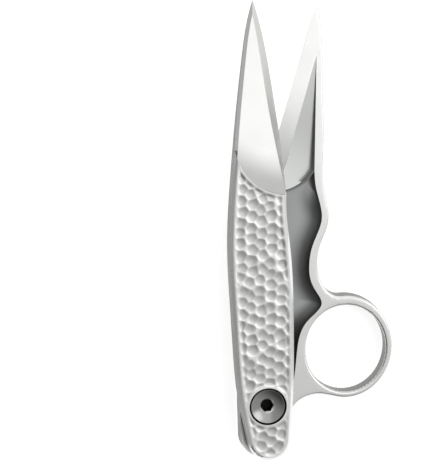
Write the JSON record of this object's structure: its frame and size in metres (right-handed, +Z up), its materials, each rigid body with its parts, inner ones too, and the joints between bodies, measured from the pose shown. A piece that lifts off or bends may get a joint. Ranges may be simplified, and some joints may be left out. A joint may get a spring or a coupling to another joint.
{
  "type": "thread snips",
  "caption": "Sprung all-steel thread snips: flat halves crossing on a pivot screw, with pointed blades, a hammered handle and a finger ring.",
  "frame": {"origin": "centre of the resting footprint's bounding rectangle, on the surface that the back half lies on", "axes": "+Y along the length towards the tips, +X to the right towards the finger ring, +Z up out of the hammered front, along the pivot axis"},
  "size_m": [0.0432, 0.12, 0.0096],
  "materials": {
    "front_steel": "polished stainless steel, hammered handle",
    "back_steel": "polished stainless steel, satin tray",
    "screw_steel": "mirror-polished",
    "nut_steel": "turned",
    "bush_bronze": "oiled bearing bronze",
    "washer_bronze": "oiled bearing bronze",
    "spring_wire": "drawn spring wire",
    "front_post_steel": "ground dowel",
    "back_post_steel": "ground dowel",
    "pin_steel": "ground dowel"
  },
  "bodies": {
    "back": {"back_half": "back_steel", "pivot_screw": "screw_steel", "pivot_nut": "nut_steel", "thrust_washer": "washer_bronze", "opening_spring": "spring_wire", "back_spring_post": "back_post_steel", "stop_pin": "pin_steel"},
    "front": {"front_half": "front_steel", "pivot_bush": "bush_bronze", "front_spring_post": "front_post_steel"}
  },
  "joints": [
    {"name": "pivot", "type": "hinge", "parent": "back", "child": "front", "pos_m": [-0.01172, -0.0457, 0.005], "axis": [0, 0, 1], "range_deg": [-9.3, 0], "stiffness_Nm_per_rad": 0.06, "springref_deg": 40.11, "deforming": ["opening_spring"]}
  ]
}
